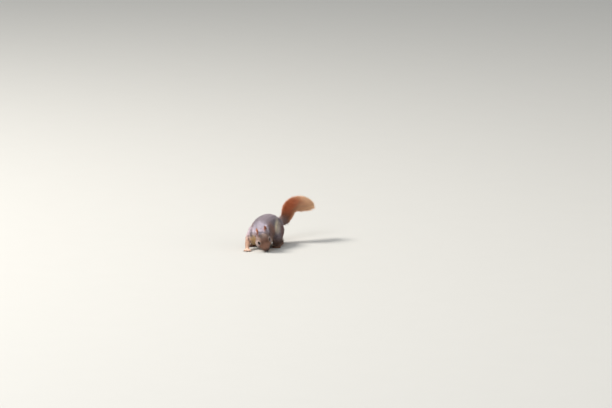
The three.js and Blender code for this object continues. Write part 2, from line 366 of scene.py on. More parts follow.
def oval(along, up, patch, full, gone):
    """1 in a patch, fading to 0 between two shares of its reach."""
    return falling(np.hypot((along - patch[0]) / patch[2], (up - patch[1]) / patch[3]), full, gone)


def markings(points, normals, shares, far, colours):
    """The colour of skin and coat at each place. `far` is the way past the rump, over the coat.
    The limits of the masks are millimetres, or shares of a normal."""
    trunk, neck, head, ear, fore, forefoot, hind, hindfoot, tail = shares.T
    x, y, z = (points / MM).T
    nx, ny, nz = normals.T
    middle = (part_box("trunk")[0].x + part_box("trunk")[1].x) / 2 / MM
    flank_side = rising(np.abs(x - middle), 14, 24) * trunk

    # the underside, from the breast to under the tail
    breast, vent = rising(-y, 55, 80), rising(y, 0, 40)
    low = falling(z - 12 * breast - 8 * vent, 14, 28)
    low *= rising(-nz, -0.35, 0.25) * (trunk + neck)

    neck_side = rising(np.abs(nx), 0.6, 0.95) * rising(z, 36, 48)
    shade_before_thigh = falling(np.abs(y + 49), 6, 18) * falling(z, 34, 50)
    lean = FLANK_LEAN[1] * np.maximum(z - FLANK_LEAN[0], 0) ** 2
    outside = rising(nx * np.sign(x - middle), 0.5, 0.9) * rising(z, 10, 18)
    front = rising(-ny, 0.5, 0.85) * rising(z, 26, 36)
    rust = tail * rising(far, -12, 10)
    painted_backlight = 0.25 * rising(1 - normals @ BRUSH_TO_CAMERA, 0.2, 0.6)
    painted_backlight += 0.4 * rising(normals @ BRUSH_UNDER, 0.1, 0.8)
    places = in_head(points)
    hx, hy, hz = places.T
    streak = rising(hx, -22, -18) * falling(hx, -12, -8)

    tone = layered(len(points), colours.back, [
        # pale nape fur with painted highlight, strongest where the neck faces up
        (colours.nape, neck * rising(nz, -0.4, 0.4)),
        # painted highlight on the sides of the neck, which turn away from the lamp
        (colours.ruff, 0.8 * neck * neck_side),
        (colours.belly, low),
        # a rufous shoulder, brown with painted shade in front of the thigh, and a cream patch with
        # painted sunlight above that
        (colours.shoulder, 0.85 * oval(y, z, SHOULDER_PATCH, 0.3, 1.25) * flank_side),
        (colours.shank, 0.6 * shade_before_thigh * flank_side),
        # cream flank fur, brightened with painted sunlight
        (colours.flank, oval(y - lean, z, FLANK_PATCH, 0.45, 1.2) * flank_side),
        # forelegs: pale below, with painted highlight in front and painted shade over the brown
        # outside
        (colours.shoulder, 0.6 * fore),
        (colours.ruff, fore * front),
        (colours.foreleg, (fore + forefoot) * falling(z, 22, 38)),
        (colours.shank, 0.95 * fore * outside * (1 - front)),
        # hind legs, brown fur darkened with painted shade towards the ground
        (colours.thigh, hind * falling(z, 50, 62) * rising(y, -34, -22)),
        (colours.shank, hind * falling(z, 16, 36)),
        (colours.foot, hindfoot),
        # brown at the root of the tail, then rust, paler at its end, and paler at its sides and
        # underneath with painted backlight through the hair, partly paler underside fur
        (colours.tail_root, tail),
        (colours.tail, rust),
        (colours.tail_end, rust * painted_backlight),
        (colours.tail_end, tail * rising(far, 38, 78)),
        (face_colours(places, colours), np.clip(head + ear, 0, 1)),
        (colours.ear_root, 0.75 * streak * oval(np.abs(hy), hz, EAR_STREAK, 0.5, 1.1)),
    ])
    for name, side in SIDES.items():
        height, across = ear_place(points, name)
        inside = layered(len(points), colours.ear_root, [
            (colours.ear, rising(height, -10, -4)),
            (colours.ear_rim, rising(np.abs(across), 4.6, 6.6)),
        ])
        tone = blended(tone, inside, rising(ear, 0.25, 0.65) * (hy * side > 0))
    return np.clip(tone, 0, 1)


def face_colours(head, colours):
    """A brown face with a greyer crown, pale cheeks and throat, and pale rings round the eyes."""
    hx, hy, hz = head.T
    eyes = [np.linalg.norm(head - sided(EYE_IN_HEAD, side), axis=1) for side in SIDES.values()]
    palest = 0.9 - 0.5 * rising(hx - EYE_IN_HEAD[0], -4, 3)
    on_cheek = rising(hx, -6, 0) * falling(hx, 8, 18)
    return layered(len(head), colours.face, [
        (colours.crown, falling(hx, -8, 8) * rising(hz, -2, 8)),
        # painted highlight at the back of the head, where it meets the neck in shade
        (colours.ruff, falling(hx, -15, -9) * rising(hz, 0, 6)),
        (colours.cheek, rising(np.abs(hy), 12.5, 17.5) * on_cheek),
        (colours.throat, rising(-hz, 6.5, 12)),
        (colours.muzzle, rising(hx, 20, 27) * falling(-hz, 5, 9)),
        (colours.eye_ring, palest * falling(np.minimum(*eyes), 5.8, 7.8)),
    ])


def ear_place(points, side):
    """Height and width in an ear's own axes, from its middle, in millimetres."""
    bm = merged_copy(f"ear_{side}")
    corners = np.array([v.co for v in bm.verts])
    bm.free()
    centre = (corners.min(0) + corners.max(0)) / 2
    axes = np.linalg.eigh(np.cov((corners - corners.mean(0)).T))[1].T[:0:-1]
    backward = -np.array(HEAD)[:3, 0]
    axes[0] *= np.sign(axes[0] @ backward)
    return ((points - centre) @ axes.T / MM).T


# --- the skin

SPREAD = 0.32 * MM  # the flesh is swollen by this much, to close the cuts between its nodes
SOCKET = 0.5 * MM  # how far the skin stands over the eyes before the lids open

GAZE = (0.35, 0.82, 0.5)  # the way the left eye looks, in the head
CORNERS = (1.0, 0, -0.12)  # the way from the rear corner of an eye to its front one
# The lids: angles at the middle of the eye, and millimetres out from the eyeball.
OPEN_LONG, OPEN_HIGH = 0.9, 0.74  # half the opening
RIM_AT, RIM_WIDE = 0.12, 0.13  # where the lids stand highest, out from the opening
LID_THICK, RIM_HIGH = 0.28, 0.38
LID_FADE, LID_END = 1.25, 1.6  # the lids run out into the face between these
LID_NEAR = 4  # skin farther out stays as it is
SUNK = 0.9  # how far the skin lies under the eyeball's surface in the opening
NO_LID = 9  # stands for skin that is far from any lid

MOUTH = (24, 0, -5)  # the mouth needs small faces round it
# The line of the mouth: height 20 mm out from the middle of the head, rise, width and depth.
LIP_HEIGHT, LIP_RISE, LIP_WIDE, LIP_DEEP = -7.4, 0.06, 0.55, 0.8
INSIDE_MOUTH = (10, 0, -6)

HANG = 0.45  # how much the body's coat lies downwards, beside lying backwards


def lay_flesh_together():
    """One closed surface over all the flesh and the eyes."""
    whole = bmesh.new()
    for node in FLESH:
        bm = merged_copy(node)
        for v in bm.verts:
            v.co += v.normal * SPREAD
        whole.from_mesh(mesh_of(bm, "flesh"))
    for side in SIDES.values():
        place = HEAD @ (Vector(sided(EYE_IN_HEAD, side)) * MM)
        bmesh.ops.create_icosphere(whole, subdivisions=3, radius=eye_radius() + SOCKET,
                                   matrix=Matrix.Translation(place))
    return mesh_of(whole, "flesh")


def remeshed(mesh, voxel):
    """The outside of overlapping shells as one surface of even faces."""
    holder = linked("remesh", mesh)
    remesh = holder.modifiers.new("remesh", "REMESH")
    remesh.mode = "VOXEL"
    remesh.voxel_size = voxel
    graph = bpy.context.evaluated_depsgraph_get()
    shell = bpy.data.meshes.new_from_object(holder.evaluated_get(graph))
    bpy.data.objects.remove(holder)
    return shell


def largest_part(mesh):
    """Keeps the outer shell and drops any small shell closed up inside it."""
    bm = bmesh.new()
    bm.from_mesh(mesh)
    bm.verts.ensure_lookup_table()
    unseen, parts = set(range(len(bm.verts))), []
    while unseen:
        part, queue = [], [unseen.pop()]
        while queue:
            here = bm.verts[queue.pop()]
            part.append(here.index)
            near = {edge.other_vert(here).index for edge in here.link_edges} & unseen
            unseen -= near
            queue += near
        parts.append(part)
    keep = set(max(parts, key=len))
    bmesh.ops.delete(bm, geom=[v for v in bm.verts if v.index not in keep], context="VERTS")
    return bm


def refine(bm, centre, *reaches):
    """Halves the faces near a place on the head, once for each reach."""
    place = Vector(out_of_head(np.array([centre], float))[0])
    for reach in reaches:
        near = [e for e in bm.edges if all((v.co - place).length < reach * MM for v in e.verts)]
        bmesh.ops.subdivide_edges(bm, edges=near, cuts=1, use_grid_fill=True)


def raw_skin(voxel):
    """The flesh as one mesh, with its smallest faces round the eyes and the mouth."""
    bm = largest_part(remeshed(lay_flesh_together(), voxel))
    for side in SIDES.values():
        refine(bm, sided(EYE_IN_HEAD, side), 9, 7.5)
    refine(bm, MOUTH, 9)
    bmesh.ops.triangulate(bm, faces=[f for f in bm.faces if len(f.verts) > 4])
    return mesh_of(bm, "skin")


def open_lids(head, side, radius):
    """Draws the skin round one eye up into lids, and sinks it behind the eye between them. Gives
    the angle from the edge of the lids outwards, or -1 between them."""
    centre, gaze = sided(EYE_IN_HEAD, side), unit(sided(GAZE, side))
    corners = np.array(CORNERS)
    long_way = unit(corners - gaze * (corners @ gaze))
    high_way = np.cross(gaze, long_way)
    from_eye = head - centre
    reach = np.linalg.norm(from_eye, axis=1)
    way = unit(from_eye)
    angle = np.arccos(np.clip(way @ gaze, -1, 1))
    turn = np.arctan2(way @ high_way, way @ long_way)
    opening = 1 / np.sqrt((np.cos(turn) / OPEN_LONG) ** 2 + (np.sin(turn) / OPEN_HIGH) ** 2)
    beyond = angle - opening
    lid = np.maximum(reach, radius + LID_THICK + RIM_HIGH * bell(beyond - RIM_AT, RIM_WIDE))
    lid = reach + (lid - reach) * falling(angle, LID_FADE, LID_END)
    target = np.where(beyond > 0, lid, radius - SUNK)
    near = (reach < radius + LID_NEAR) & (angle < LID_END)
    head[near] = (centre + way * target[:, None])[near]
    return np.where(near, np.where(beyond > 0, beyond, -1), NO_LID)


def lie_of_coat(net, points, normals, share):
    """How far each place lies from the nose, going over the coat, and which way the coat lies
    there: away from the nose, and down the sides."""
    nose = np.array(box_centre("nose"))
    start = int(np.linalg.norm(points - nose, axis=1).argmin())
    far = net.evened(net.distance(points, start)[:, None], 60)[:, 0]
    lie = unit(flattened(net.slope(points, far), normals))
    hang = HANG * (share["trunk"] + share["neck"] + 0.5 * share["hindleg"])
    lie = lie + np.array([0, 0, -1]) * (hang * (1 - np.abs(normals[:, 2])))[:, None]
    lie = net.evened(unit(flattened(lie, normals)), 12)
    return far, unit(flattened(lie, normals))


def build_skin(voxel, colours):
    """The skin, inside the coat's outline by the coat's depth, with what the coat needs on it."""
    mesh = raw_skin(voxel)
    net = Net(mesh)
    points = vertex_array(mesh).astype(float)
    shares = region_shares(points)
    share = dict(zip(REGIONS, shares.T))
    small = share["head"] + share["ear"] + share["forefoot"] + share["hindfoot"]
    soft = net.evened((1 - small)[:, None], 4)
    outline = net.faired(net.faired(points, 8, 0.6), 50, soft)
    move_vertices(mesh, outline)
    normals = unit(net.evened(vertex_array(mesh, "vertices", "normal").astype(float), 3))
    far, lie = lie_of_coat(net, outline, normals, share)
    rump = np.quantile(far[share["tail"] > 0.9], 0.02)
    tone = net.evened(markings(outline, normals, shares, (far - rump) / MM, colours), 2)

    muzzle = rising(in_head(outline)[:, 0], 4, 20) * share["head"]
    depth = by_region(shares, DEPTH) * MM * (1 - 0.5 * muzzle)
    depth *= 1 - share["tail"] * 0.6 * falling(far, rump, rump + 0.05)
    points = net.faired(outline - normals * net.evened(depth[:, None], 6), 6, 0.5)

    head = in_head(points)
    lids = np.minimum(*(open_lids(head, side, eye_radius() / MM) for side in SIDES.values()))
    lip = head[:, 2] - LIP_HEIGHT - LIP_RISE * (head[:, 0] - 20)
    crease = bell(lip, LIP_WIDE) * (share["head"] > 0.5) * rising(head[:, 0], 12, 15)
    head -= LIP_DEEP * crease[:, None] * unit(head - np.array(INSIDE_MOUTH))
    points = out_of_head(head)
    points[:, 2] = np.maximum(points[:, 2], SKIN_GAP)
    move_vertices(mesh, points)
    tone = blended(tone, colours.lid, bell(np.clip(lids, 0, None), 0.17))
    tone = blended(tone, colours.lid, 0.8 * crease)

    # hair is short on the muzzle, at the root of the tail and beside the lids
    length = by_region(shares, LENGTH) * (1 - 0.6 * muzzle)
    length *= 1 - share["tail"] * 0.4 * falling(far, rump, rump + 0.055)
    length *= 0.4 + 0.6 * rising(lids, 0.1, 0.7)
    fields = {
        "outline": outline,
        "coat_colour": np.c_[tone, np.ones(len(tone))],
        "lie": lie,
        "far": far,
        "bare": falling(lids, 0.05, 0.3),
        "tuft_length": length * MM,
    }
    fields.update({f"on_{region}": values for region, values in share.items()})
    for name, values in fields.items():
        set_attribute(mesh, name, values)
    return mesh


def unwrap(piece):
    """Lays the skin's own shape out flat."""
    bpy.context.view_layer.objects.active = piece
    piece.select_set(True)
    bpy.ops.object.mode_set(mode="EDIT")
    bpy.ops.mesh.select_all(action="SELECT")
    bpy.ops.uv.smart_project(angle_limit=1.15, island_margin=0.004, scale_to_bounds=True)
    bpy.ops.object.mode_set(mode="OBJECT")
    piece.select_set(False)
    piece.data.uv_layers.active.name = "OFBake"


# --- tufts

PATCH = 0.003  # across a tuft's place on the unwrap
FORWARD = 0.1  # how much a tuft leans on towards its tip, as a share of its length
STRAY = 0.16  # how far a tuft swings from the lie of the coat, as an angle
USUAL_LENGTH, FULLNESS = 0.9, 1.06
LIFT_SPREAD, TONE_SPREAD = 0.22, 0.07  # how much tufts differ, as shares
LEAST_LIFT, MOST_LIFT = 0.1, 1.4
ROOT_DEPTH = 0.25 * MM  # how far under the skin a tuft starts
FLATNESS = 0.55  # a tuft's thickness, as a share of its width
LIFTS = np.radians([12, 20, 28, 38, 50, 64, 80])  # tried in turn for each long tuft
USUAL_LIFT = LIFTS[3]  # for a tuft that none of them suits
SHORT_STYLE = dict(curl=0.12, droop=0.5, uneven=0.22)
LONG_STYLE = dict(curl=0.1, droop=0.75, uneven=0.24)


def strand_shape(rings):
    """A three-sided spike, as ways out from its middle, heights from 0 to 1, and triangles."""
    bm = bmesh.new()
    bmesh.ops.create_cone(bm, cap_ends=True, segments=3, radius1=1, radius2=0, depth=1,
                          matrix=Matrix.Translation((0, 0, 0.5)))
    for height in rings:
        bmesh.ops.bisect_plane(bm, geom=bm.verts[:] + bm.edges[:] + bm.faces[:],
                               plane_co=(0, 0, height), plane_no=(0, 0, 1))
    bmesh.ops.triangulate(bm, faces=bm.faces[:])
    bmesh.ops.recalc_face_normals(bm, faces=bm.faces[:])
    bm.verts.index_update()
    corners = np.array([v.co for v in bm.verts])
    triangles = np.array([[v.index for v in f.verts] for f in bm.faces])
    bm.free()
    heights = np.clip(corners[:, 2], 0, 1)
    outward = corners[:, :2] / np.maximum(1 - heights, 1e-3)[:, None]
    outward[heights > 0.999] = 0
    return outward, heights, triangles


class Roots:
    """Places on the skin where tufts grow, with what the skin says there."""

    def __init__(self, skin, rng):
        mesh = skin.data
        mesh.calc_loop_triangles()
        self.rng = rng
        self.corners = vertex_array(mesh, "loop_triangles", "vertices", 3, np.int32)
        self.loops = vertex_array(mesh, "loop_triangles", "loops", 3, np.int32)
        self.uv = vertex_array(mesh.uv_layers["OFBake"], "uv", "vector", 2)
        self.outline = get_attribute(mesh, "outline")
        self.bare = get_attribute(mesh, "bare", 1)
        self.share = {r: get_attribute(mesh, f"on_{r}", 1).astype(float) for r in REGIONS}
        self.fields = dict(
            point=vertex_array(mesh).astype(float),
            normal=vertex_array(mesh, "vertices", "normal").astype(float),
            lie=get_attribute(mesh, "lie"),
            tone=get_attribute(mesh, "coat_colour", 4)[:, :3],
            length=get_attribute(mesh, "tuft_length", 1),
            far=get_attribute(mesh, "far", 1),
            shares=np.stack(list(self.share.values()), 1),
        )
        a, b, c = (self.fields["point"][self.corners[:, k]] for k in range(3))
        self.area = np.linalg.norm(np.cross(b - a, c - a), axis=1) / 2 / MM**2

    def scattered(self, region, thickness):
        """Even, slightly random places over a region."""
        density = self.share[region] * COAT[region][DENSITY] * (1 - self.bare) * thickness
        load = np.cumsum(self.area * density[self.corners].mean(1))
        count = int(load[-1])
        target = (np.arange(count) + self.rng.random(count)) * (load[-1] / count)
        face = np.minimum(np.searchsorted(load, target), len(load) - 1)
        first, second = self.rng.random((2, count))
        root = np.sqrt(first)
        weights = np.stack([1 - root, root * (1 - second), root * second], 1)

        def mixed(values):
            return (values * weights.reshape(weights.shape + (1,) * (values.ndim - 2))).sum(1)

        at = self.corners[face]
        found = {name: mixed(values[at]) for name, values in self.fields.items()}
        found["normal"] = unit(found["normal"])
        found["lie"] = unit(flattened(found["lie"], found["normal"]))
        found["uv"] = mixed(self.uv[self.loops[face]])
        return found

    def reach_outline(self, found, droop):
        """Lifts long tufts just so far, and cuts them so long, that they end at the outline."""
        tree = BVHTree.FromPolygons(self.outline.tolist(), self.corners.tolist())
        ends = [(math.cos(a) + FORWARD, math.sin(a) * (1 - droop / 2)) for a in LIFTS]
        found["lift"] = np.full(len(found["far"]), USUAL_LIFT)
        places = zip(found["point"], found["lie"], found["normal"])
        for i, (point, lie, normal) in enumerate(places):
            for lift, (run, rise) in zip(LIFTS, ends):
                size = math.hypot(run, rise)
                way = (lie * run + normal * rise) / size
                longest = float(found["length"][i]) * size
                hit = tree.ray_cast(point.tolist(), way.tolist(), longest)
                if hit[0] is not None:
                    found["lift"][i] = lift
                    found["length"][i] = hit[3] / size
                    break


def grow(name, roots, shape, rng, material, slot, curl, droop, uneven):
    """Grows one joined mesh of tufts from the given roots."""
    outward, heights, triangles = shape
    count, each = len(roots["far"]), len(heights)
    normal, lie = roots["normal"], roots["lie"]
    aside = np.cross(normal, lie)
    swing = rng.normal(0, STRAY, count)
    ahead = lie * np.cos(swing)[:, None] + aside * np.sin(swing)[:, None]
    aside = np.cross(normal, ahead)
    shortest, longest = USUAL_LENGTH - uneven, USUAL_LENGTH + uneven
    length = roots["length"] * rng.uniform(shortest, longest, count) * FULLNESS
    width = by_region(roots["shares"], WIDTH) * MM * rng.uniform(0.8, 1.2, count)
    angle = roots["lift"] if "lift" in roots else np.radians(by_region(roots["shares"], LIFT))
    angle = np.clip(angle * rng.normal(1, LIFT_SPREAD, count), LEAST_LIFT, MOST_LIFT)
    bend = rng.normal(0, curl, count)

    # how far each ring of a tuft lies ahead, out from the skin and aside, and its half width
    t = heights[None, :]
    run = t * np.cos(angle)[:, None] + FORWARD * t**2
    rise = np.sin(angle)[:, None] * (t - droop * 0.5 * t**2)
    sway = bend[:, None] * t**2
    thick = width[:, None] * (1 - t**1.5) * (0.75 + 0.9 * t * (1 - t))
    ahead, normal, aside = ahead[:, None], normal[:, None], aside[:, None]
    way = run[..., None] * ahead + rise[..., None] * normal + sway[..., None] * aside
    spine = roots["point"][:, None] - normal * ROOT_DEPTH + length[:, None, None] * way
    ring = outward[:, :1] * aside + FLATNESS * outward[:, 1:] * normal
    places = (spine + thick[..., None] * ring).reshape(-1, 3)
    places[:, 2] = np.maximum(places[:, 2], TUFT_GAP)
    faces = (triangles + (np.arange(count) * each)[:, None, None]).reshape(-1, 3)
    mesh = triangle_mesh(name, places, faces)

    tone = np.clip(roots["tone"] * rng.normal(1, TONE_SPREAD, (count, 1)), 0, 1)
    seeds = rng.random(count)
    none = np.zeros(count * each)
    set_attribute(mesh, "coat_colour", np.c_[np.repeat(tone, each, 0), none + 1])
    set_attribute(mesh, "strand", np.c_[np.tile(heights, count), np.repeat(seeds, each), none])

    flat = np.stack([outward[:, 0] + 0.2 * outward[:, 1], 2 * heights - 1 + 0.3 * outward[:, 1]], 1)
    flat = flat / np.abs(flat).max(0) * (PATCH / 2)
    patch = (roots["uv"][:, None] + flat[None]).reshape(-1, 2)
    layer = mesh.uv_layers.new(name="OFBake")
    layer.uv.foreach_set("vector", patch[faces.ravel()].astype(np.float32).ravel())
    return add_piece(name, mesh, material)


def grow_coat(settings, seed, coats, shape, material, slot, style, to_outline=False):
    """Grows the coat of some regions, each as one mesh for each name, from the nose backwards."""
    rng = np.random.default_rng(seed)
    roots = Roots(bpy.data.objects["skin"], rng)
    thickness = settings.thickness * 1
    for region, names in coats.items():
        found = roots.scattered(region, thickness)
        if to_outline:
            roots.reach_outline(found, style["droop"])
        cuts = np.quantile(found["far"], np.linspace(0, 1, len(names) + 1)[1:-1])
        part = np.searchsorted(cuts, found["far"])
        for k, name in enumerate(names):
            here = {key: values[part == k] for key, values in found.items()}
            grow(name, here, shape, rng, material, slot, **style)


# --- materials


def node_group(name, inputs, outputs):
    """A new group with its two ends. The inputs come with their defaults."""
    group = bpy.data.node_groups.new(name, "ShaderNodeTree")
    for way, sockets in (("INPUT", inputs), ("OUTPUT", dict.fromkeys(outputs))):
        for socket, value in sockets.items():
            kind = "NodeSocketColor" if socket == "Colour" else "NodeSocketFloat"
            made = group.interface.new_socket(socket, in_out=way, socket_type=kind)
            if value is not None:
                made.default_value = value
    return group, group.nodes.new("NodeGroupInput"), group.nodes.new("NodeGroupOutput")


def feed(tree, node, inputs):
    """Gives a node's inputs numbers, colours, or what other nodes give."""
    for key, value in inputs.items():
        if isinstance(value, bpy.types.NodeSocket):
            tree.links.new(value, node.inputs[key])
        else:
            node.inputs[key].default_value = (*value, 1) if isinstance(value, tuple) else value


def added(tree, kind, inputs=None, **values):
    node = tree.nodes.new(kind)
    for key, value in values.items():
        setattr(node, key, value)
    feed(tree, node, inputs or {})
    return node


def maths(tree, operation, first, second):
    return added(tree, "ShaderNodeMath", {0: first, 1: second}, operation=operation).outputs[0]


def mix(tree, factor, first, second, blend="MIX"):
    inputs = {0: factor, 6: first, 7: second}
    return added(tree, "ShaderNodeMix", inputs, data_type="RGBA", blend_type=blend).outputs[2]


def shaded(tree, colour, shade):
    """A colour made darker or lighter by a number."""
    grey = added(tree, "ShaderNodeCombineColor", {0: shade, 1: shade, 2: shade})
    return mix(tree, 1.0, colour, grey.outputs[0], "MULTIPLY")


def attribute(tree, name, output="Color"):
    return added(tree, "ShaderNodeAttribute", attribute_name=name).outputs[output]


def hair_tones():
    """Darker at the root and lighter at the tip of each hair, with each hair a little different."""
    inputs = {"Colour": None, "Along": 0.5, "Seed": 0.5, "Root": 0.5, "Tip": 1.25, "Variety": 0.3}
    group, entry, leave = node_group("hair_tones", inputs, ["Colour"])
    given = entry.outputs
    reach = maths(group, "POWER", given["Along"], 0.8)
    span = maths(group, "SUBTRACT", given["Tip"], given["Root"])
    shade = maths(group, "ADD", given["Root"], maths(group, "MULTIPLY", span, reach))
    sway = maths(group, "MULTIPLY", maths(group, "SUBTRACT", given["Seed"], 0.5), given["Variety"])
    shade = maths(group, "ADD", shade, sway)
    feed(group, leave, {"Colour": shaded(group, given["Colour"], shade)})
    return group


def fine_grain():
    """Fine mottling and relief, for skin between hairs, horn and bare skin."""
    inputs = {"Colour": None, "Scale": 900.0, "Depth": 0.3}
    group, entry, leave = node_group("fine_grain", inputs, ["Colour", "Height"])
    given = entry.outputs
    place = added(group, "ShaderNodeTexCoord").outputs["Object"]
    noise = {"Detail": 4, "Vector": place, "Scale": given["Scale"]}
    grain = added(group, "ShaderNodeTexNoise", noise).outputs["Fac"]
    shade = maths(group, "MULTIPLY", maths(group, "SUBTRACT", grain, 0.5), given["Depth"])
    shade = maths(group, "ADD", shade, 1.0)
    feed(group, leave, {"Colour": shaded(group, given["Colour"], shade), "Height": grain})
    return group


def group_node(tree, maker, inputs):
    """One more use of a group, which is made when it is first used."""
    group = bpy.data.node_groups.get(maker.__name__) or maker()
    return added(tree, "ShaderNodeGroup", inputs, node_tree=group)


def new_material(name, roughness, **sockets):
    material = bpy.data.materials.new(name)
    material.use_nodes = True
    shader = material.node_tree.nodes["Principled BSDF"]
    values = {socket.replace("_", " "): value for socket, value in sockets.items()}
    feed(material.node_tree, shader, {"Roughness": roughness, **values})
    return material, material.node_tree, shader


def hair_material(name, root, tip, variety, tip_colour=None):
    """Hair in the coat's colours, drawn to another colour at the tips if one is given."""
    material, tree, shader = new_material(name, 0.7, Specular_IOR_Level=0.2, Sheen_Weight=0.1,
                                          Sheen_Roughness=0.5)
    strand = added(tree, "ShaderNodeSeparateXYZ", {0: attribute(tree, "strand", "Vector")})
    along, seed = strand.outputs[0], strand.outputs[1]
    colour = attribute(tree, "coat_colour")
    if tip_colour is not None:
        reach = maths(tree, "POWER", along, 2.2)
        colour = mix(tree, maths(tree, "MULTIPLY", reach, 0.35), colour, tuple(tip_colour))
    tones = group_node(tree, hair_tones, {"Colour": colour, "Along": along, "Seed": seed,
                                          "Root": root, "Tip": tip, "Variety": variety})
    feed(tree, shader, {"Base Color": tones.outputs[0]})
    return material


def grained_material(name, roughness, colour, scale, depth, relief, **sockets):
    """Skin, horn or floor: a colour, or the attribute named by it, with mottling and relief."""
    material, tree, shader = new_material(name, roughness, **sockets)
    if isinstance(colour, str):
        colour = attribute(tree, colour)
    grain = group_node(tree, fine_grain, {"Colour": colour, "Scale": scale, "Depth": depth})
    height = {"Strength": 0.6, "Distance": relief, "Height": grain.outputs["Height"]}
    bump = added(tree, "ShaderNodeBump", height)
    feed(tree, shader, {"Base Color": grain.outputs["Colour"], "Normal": bump.outputs["Normal"]})
    return material


# --- settings


def colour_setting(name, red, green, blue):
    return FloatVectorProperty(name=name, description=f"{name} of the coat", subtype="COLOR",
                               size=3, min=0, max=1, default=linear(red, green, blue))


class SquirrelColours(bpy.types.PropertyGroup):
    """Markings of skin and coat."""

    back: colour_setting("Back", 148, 135, 142)
    nape: colour_setting("Nape", 183, 173, 184)
    # painted highlight: lightens the shaded sides of the neck, the back of the head and the fronts
    # of the forelegs
    ruff: colour_setting("Painted highlight", 224, 210, 222)
    shoulder: colour_setting("Shoulder", 172, 123, 101)
    flank: colour_setting("Flank patch and painted sunlight", 255, 241, 212)
    belly: colour_setting("Belly", 216, 180, 126)
    foreleg: colour_setting("Foreleg", 246, 210, 186)
    thigh: colour_setting("Thigh", 130, 97, 95)
    # brown of the lower legs, deepened as painted shade under the legs, before the thigh and on the
    # forelegs' outsides
    shank: colour_setting("Shank", 94, 64, 47)
    foot: colour_setting("Hind foot", 148, 106, 78)
    tail_root: colour_setting("Root of the tail", 106, 70, 54)
    tail: colour_setting("Tail", 172, 74, 28)
    tail_end: colour_setting("End of the tail", 246, 206, 168)
    tail_tips: colour_setting("Tips of the tail's hair", 238, 180, 132)
    face: colour_setting("Face", 132, 96, 79)
    muzzle: colour_setting("Muzzle", 84, 58, 50)
    crown: colour_setting("Crown", 164, 141, 130)
    cheek: colour_setting("Cheek", 170, 152, 146)
    throat: colour_setting("Throat", 190, 164, 134)
    eye_ring: colour_setting("Eye ring", 226, 198, 186)
    lid: colour_setting("Lids and lips", 44, 30, 28)
    ear: colour_setting("Ear", 176, 108, 66)
    ear_root: colour_setting("Root of the ear", 110, 62, 42)
    ear_rim: colour_setting("Rim of the ear", 118, 66, 44)


class SquirrelBody(bpy.types.PropertyGroup):
    """Sizes of the skin and what stands on it."""

    voxel: FloatProperty(
        name="Skin detail", description="Size of the skin's faces, away from the eyes",
        default=0.001, min=0.0004, max=0.003, unit="LENGTH", precision=4)
    whiskers: IntProperty(
        name="Whiskers", description="Long whiskers on each side of the muzzle",
        default=16, min=0, max=40)
    whisker_length: FloatProperty(
        name="Whisker length", description="Length of the longest whiskers",
        default=0.042, min=0.01, max=0.08, unit="LENGTH")


class SquirrelCoat(bpy.types.PropertyGroup):
    """How thickly the coat grows."""

    thickness: FloatProperty(
        name="Thickness", description="Tufts grown, as a share of the full coat",
        default=1.0, min=0.05, max=1.1, subtype="FACTOR")
    seed: IntProperty(name="Seed", description="Starts the random draws", default=7, min=0)


class SquirrelStage(bpy.types.PropertyGroup):
    """Camera and light."""

    azimuth: FloatProperty(
        name="Azimuth", description="Way round from the front, to the animal's left",
        default=math.radians(20), subtype="ANGLE")
    elevation: FloatProperty(
        name="Elevation", description="Height of the camera above the horizon",
        default=math.radians(10), subtype="ANGLE")
    distance: FloatProperty(
        name="Distance", description="From the camera to the animal",
        default=9.0, min=1, unit="LENGTH")
    lens: FloatProperty(
        name="Lens", description="Focal length in millimetres", default=211.7, min=10)
    light: FloatProperty(
        name="Light", description="Strength of the studio light", default=1.0, min=0)


class SquirrelSettings(bpy.types.PropertyGroup):
    """Everything that a user can change."""

    colours: PointerProperty(type=SquirrelColours)
    body: PointerProperty(type=SquirrelBody)
    coat: PointerProperty(type=SquirrelCoat)
    stage: PointerProperty(type=SquirrelStage)


# --- operators

# Each lamp: its place to the right, upwards and towards the camera, its size, power and colour.
LAMPS = {
    "key": ((-4.0, 4.6, -0.5), 2.2, 440, (1.0, 0.97, 0.93)),
    "fill": ((-2.0, 3.0, 4.5), 3.0, 120, (0.95, 0.97, 1.0)),
    "side": ((4.2, 0.9, 1.6), 3.0, 46, (1.0, 0.96, 0.92)),
}
FLOOR_HALF = 40
SKY = (0.9, 0.95, 1.0)
SKY_STRENGTH = 0.38
AIM = (0.0967, 0.1209)  # where the camera looks: to the right of and above the ground at the nose

CORNEA = (0.7, 0.3, 0.05)  # the cosine from the gaze where it starts, the rest, and its bulge
NOSE_SIZE = (2.7, 3.1, 2.3)
GROOVE = (0.35, 0.1)  # half width, and depth as a share of the nose
NOSTRIL = (2.0, 1.75, -0.2)  # from the middle of the nose
NOSTRIL_SIZE = (1.6, 0.6, 0.9)
NOSTRIL_DEEP = 0.3
TOES = {"fore": 4, "hind": 5}
CLAW_SWELL = 0.12
CLAW_ROOT = 2.8  # how far a claw's root runs back into its toe
CLAW_HALF = 2.2  # from the middle of a claw to its rear end
WHISKER_SEED = 31
WHISKER_ROWS, BROW_WHISKERS, BROW_LENGTH = 4, 4, 15.0
WHISKER_HALF, WHISKER_TAPER = 0.11 * MM, 0.85  # half its width at the root, and what it loses
LOWEST_TIP, LEVEL = 0.004, 0.05  # a whisker that would end lower goes out nearly level
RISE = np.array([0, 0, 0.25])  # how a whisker curves upwards to its tip

SHORT_COATS = {
    "trunk": ["coat_trunk_1", "coat_trunk_2", "coat_trunk_3"],
    "neck": ["coat_neck"],
    "head": ["coat_head_1", "coat_head_2"],
    "ear": ["coat_ears"],
    "foreleg": ["coat_forelegs"],
    "hindleg": ["coat_hindlegs"],
    "forefoot": ["coat_forefeet"],
    "hindfoot": ["coat_hindfeet"],
}
BRUSH = {"tail": ["brush_base", "brush_middle", "brush_tip"]}


